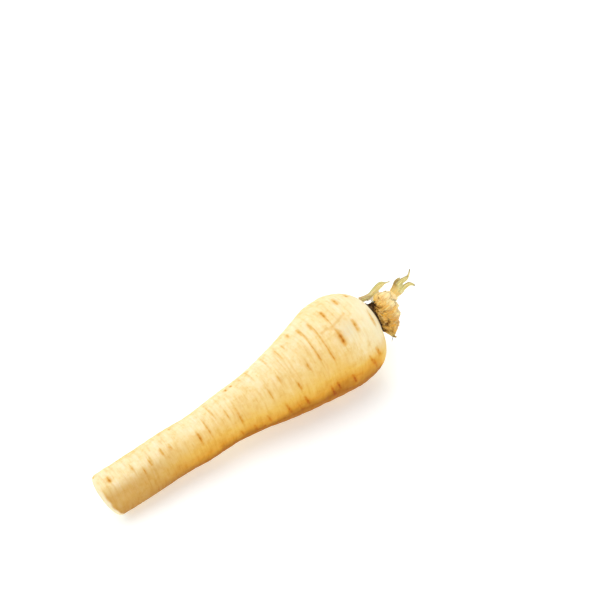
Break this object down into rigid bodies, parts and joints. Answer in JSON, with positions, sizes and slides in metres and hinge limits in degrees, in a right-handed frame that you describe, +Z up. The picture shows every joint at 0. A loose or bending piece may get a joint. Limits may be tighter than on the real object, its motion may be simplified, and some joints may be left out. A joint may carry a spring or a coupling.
{
  "type": "parsnip",
  "caption": "Whole parsnip root lying on its side, pale and tapering from a blunt shoulder to a cut tip, with a trimmed stub of leaf bases and torn leaf stalks.",
  "frame": {"origin": "centre of the bounding box, on the surface that the root lies on", "axes": "+X along the root from the cut tip to the crown, +Z up"},
  "size_m": [0.238, 0.0596, 0.0594],
  "materials": {
    "root_skin": "satin, pale cream skin with brown scars",
    "leaf_bases": "matte, dry fibrous leaf bases",
    "soil": "matte, dark crumbly soil",
    "leaf_stalk": "satin, yellow-green torn stalks"
  },
  "bodies": {
    "root": {"root": "root_skin", "crown_stub": "leaf_bases", "crown_soil": "soil", "leaf_stalk_left": "leaf_stalk", "leaf_stalk_right": "leaf_stalk"}
  },
  "joints": []
}
